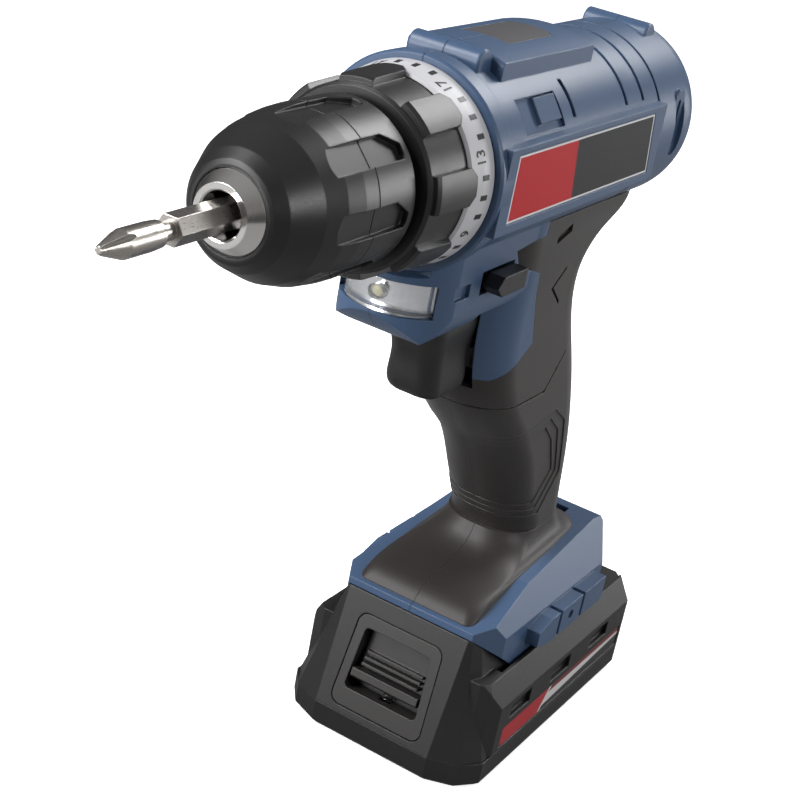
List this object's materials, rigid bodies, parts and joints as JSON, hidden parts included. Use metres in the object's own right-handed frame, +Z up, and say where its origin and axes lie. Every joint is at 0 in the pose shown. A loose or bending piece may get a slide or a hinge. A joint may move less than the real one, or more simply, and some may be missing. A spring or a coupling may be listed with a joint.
{
  "type": "cordless drill",
  "caption": "Pistol-grip cordless drill driver with keyless chuck, numbered torque collar, rubber grip and slide-on battery.",
  "frame": {"origin": "centre of the base face of the battery pack", "axes": "+Z up out of the base, -Y towards the chuck along the spindle, +X towards the left flank as its user holds it"},
  "size_m": [0.071, 0.2751, 0.2317],
  "materials": {
    "housing_blue": "fine matte grain, slate blue",
    "grip_rubber": "matte, warm dark grey",
    "cap_black": "satin black",
    "collar_black": "satin black",
    "scale_grey": "satin light warm grey",
    "sleeve_black": "satin black",
    "chuck_steel": "polished",
    "jaw_steel": "dark ground steel",
    "bit_steel": "satin",
    "gear_steel": "ground",
    "cast_alloy": "as cast",
    "motor_steel": "plated",
    "magnet": "sintered",
    "copper": "bright",
    "screw_steel": "blackened",
    "pad_grey": "satin mid grey",
    "badge": "gloss, red over a dark band, blank",
    "lens_clear": "clear",
    "lamp": "clear dome",
    "trigger_black": "satin black",
    "switch_grey": "moulded",
    "pack_black": "spark textured charcoal",
    "latch_grey": "satin grey",
    "cell_wrap": "shrink sleeve over a steel can",
    "board_green": "laminate"
  },
  "bodies": {
    "housing": {"housing_left": "housing_blue", "housing_right": "housing_blue", "housing_screws": "screw_steel", "rear_cap": "housing_blue", "grip_left": "grip_rubber", "grip_right": "grip_rubber", "saddle_left": "grip_rubber", "saddle_right": "grip_rubber", "top_pad": "pad_grey", "side_badges": "badge", "led_lens": "lens_clear", "led_lamp": "lamp", "switch_body": "switch_grey", "trigger_spring": "screw_steel", "terminal_block": "switch_grey", "terminal_blades": "copper", "gear_case": "cast_alloy", "ring_gear": "gear_steel", "motor_can": "motor_steel", "motor_magnets": "magnet", "motor_end_bell": "switch_grey", "motor_brushes": "magnet", "spindle_bearing": "gear_steel", "clutch_spring": "gear_steel"},
    "rotor": {"motor_shaft": "gear_steel", "armature": "copper", "motor_fan": "switch_grey"},
    "first_carrier": {"first_carrier": "gear_steel"},
    "input_planet_1": {"input_planet_1": "gear_steel"},
    "input_planet_2": {"input_planet_2": "gear_steel"},
    "input_planet_3": {"input_planet_3": "gear_steel"},
    "chuck": {"output_spindle": "gear_steel", "output_carrier": "gear_steel", "chuck_body": "chuck_steel", "chuck_rear_sleeve": "sleeve_black", "chuck_screw": "screw_steel"},
    "output_planet_1": {"output_planet_1": "gear_steel"},
    "output_planet_2": {"output_planet_2": "gear_steel"},
    "output_planet_3": {"output_planet_3": "gear_steel"},
    "front_sleeve": {"chuck_front_sleeve": "sleeve_black", "chuck_nut": "gear_steel"},
    "jaw_1": {"chuck_jaw_1": "jaw_steel"},
    "jaw_2": {"chuck_jaw_2": "jaw_steel"},
    "jaw_3": {"chuck_jaw_3": "jaw_steel"},
    "bit": {"driver_bit": "bit_steel"},
    "torque_collar": {"torque_collar": "collar_black", "torque_scale": "scale_grey"},
    "clutch_nut": {"clutch_nut": "switch_grey"},
    "trigger": {"trigger": "trigger_black"},
    "selector": {"direction_selector": "trigger_black"},
    "battery": {"battery_lower_case": "pack_black", "battery_upper_case": "pack_black", "latch_bezel": "latch_grey", "latch_spring": "screw_steel", "battery_cells": "cell_wrap", "cell_holder": "switch_grey", "battery_board": "board_green", "battery_terminals": "copper", "battery_screws": "screw_steel"},
    "latch": {"battery_latch": "latch_grey"}
  },
  "joints": [
    {"name": "rotor_spin", "type": "hinge", "parent": "housing", "child": "rotor", "pos_m": [0, -0.075, 0.2017], "axis": [0, 1, 0], "continuous": true},
    {"name": "first_carrier_spin", "type": "hinge", "parent": "housing", "child": "first_carrier", "pos_m": [0, -0.075, 0.2017], "axis": [0, 1, 0], "continuous": true},
    {"name": "chuck_spin", "type": "hinge", "parent": "housing", "child": "chuck", "pos_m": [0, -0.075, 0.2017], "axis": [0, 1, 0], "continuous": true},
    {"name": "input_planet_1_spin", "type": "hinge", "parent": "first_carrier", "child": "input_planet_1", "pos_m": [0.0105, -0.075, 0.2017], "axis": [0, 1, 0], "continuous": true},
    {"name": "input_planet_2_spin", "type": "hinge", "parent": "first_carrier", "child": "input_planet_2", "pos_m": [-0.00525, -0.075, 0.21079], "axis": [0, 1, 0], "continuous": true},
    {"name": "input_planet_3_spin", "type": "hinge", "parent": "first_carrier", "child": "input_planet_3", "pos_m": [-0.00525, -0.075, 0.19261], "axis": [0, 1, 0], "continuous": true},
    {"name": "output_planet_1_spin", "type": "hinge", "parent": "chuck", "child": "output_planet_1", "pos_m": [0.0105, -0.075, 0.2017], "axis": [0, 1, 0], "continuous": true},
    {"name": "output_planet_2_spin", "type": "hinge", "parent": "chuck", "child": "output_planet_2", "pos_m": [-0.00525, -0.075, 0.21079], "axis": [0, 1, 0], "continuous": true},
    {"name": "output_planet_3_spin", "type": "hinge", "parent": "chuck", "child": "output_planet_3", "pos_m": [-0.00525, -0.075, 0.19261], "axis": [0, 1, 0], "continuous": true},
    {"name": "front_sleeve_turn", "type": "hinge", "parent": "chuck", "child": "front_sleeve", "pos_m": [0, -0.075, 0.2017], "axis": [0, 1, 0], "range_deg": [0, 1080]},
    {"name": "jaw_1_slide", "type": "slide", "parent": "chuck", "child": "jaw_1", "axis": [0, 0.9613, 0.2756], "range_m": [0, 0.00525]},
    {"name": "jaw_2_slide", "type": "slide", "parent": "chuck", "child": "jaw_2", "axis": [-0.2387, 0.9613, -0.1378], "range_m": [0, 0.00525]},
    {"name": "jaw_3_slide", "type": "slide", "parent": "chuck", "child": "jaw_3", "axis": [0.2387, 0.9613, -0.1378], "range_m": [0, 0.00525]},
    {"name": "bit_pull", "type": "slide", "parent": "chuck", "child": "bit", "axis": [0, -1, 0], "range_m": [0, 0.03]},
    {"name": "torque_collar_turn", "type": "hinge", "parent": "housing", "child": "torque_collar", "pos_m": [0, -0.075, 0.2017], "axis": [0, 1, 0], "range_deg": [-150, 150], "deforming": ["clutch_spring"]},
    {"name": "clutch_nut_travel", "type": "slide", "parent": "torque_collar", "child": "clutch_nut", "axis": [0, 1, 0], "range_m": [-0.00083, 0.00083]},
    {"name": "trigger_press", "type": "slide", "parent": "housing", "child": "trigger", "axis": [0, 1, 0], "range_m": [0, 0.0065], "stiffness_N_per_m": 500, "springref_m": -0.001, "deforming": ["trigger_spring"]},
    {"name": "selector_slide", "type": "slide", "parent": "housing", "child": "selector", "axis": [1, 0, 0], "range_m": [-0.003, 0.003]},
    {"name": "battery_slide", "type": "slide", "parent": "housing", "child": "battery", "axis": [0, -1, 0], "range_m": [0, 0.07]},
    {"name": "latch_press", "type": "slide", "parent": "battery", "child": "latch", "axis": [0, -0.2531, -0.9674], "range_m": [0, 0.003], "stiffness_N_per_m": 600, "springref_m": -0.001, "deforming": ["latch_spring"]}
  ],
  "couplings": [
    {"joint": "first_carrier_spin", "follows": "rotor_spin", "ratio": 0.2},
    {"joint": "chuck_spin", "follows": "rotor_spin", "ratio": 0.04},
    {"joint": "input_planet_1_spin", "follows": "rotor_spin", "ratio": -0.53333},
    {"joint": "input_planet_2_spin", "follows": "rotor_spin", "ratio": -0.53333},
    {"joint": "input_planet_3_spin", "follows": "rotor_spin", "ratio": -0.53333},
    {"joint": "output_planet_1_spin", "follows": "rotor_spin", "ratio": -0.10667},
    {"joint": "output_planet_2_spin", "follows": "rotor_spin", "ratio": -0.10667},
    {"joint": "output_planet_3_spin", "follows": "rotor_spin", "ratio": -0.10667},
    {"joint": "jaw_1_slide", "follows": "front_sleeve_turn", "m_per_rad": 0.00027851},
    {"joint": "jaw_2_slide", "follows": "front_sleeve_turn", "m_per_rad": 0.00027851},
    {"joint": "jaw_3_slide", "follows": "front_sleeve_turn", "m_per_rad": 0.00027851},
    {"joint": "clutch_nut_travel", "follows": "torque_collar_turn", "m_per_rad": 0.00031831}
  ]
}
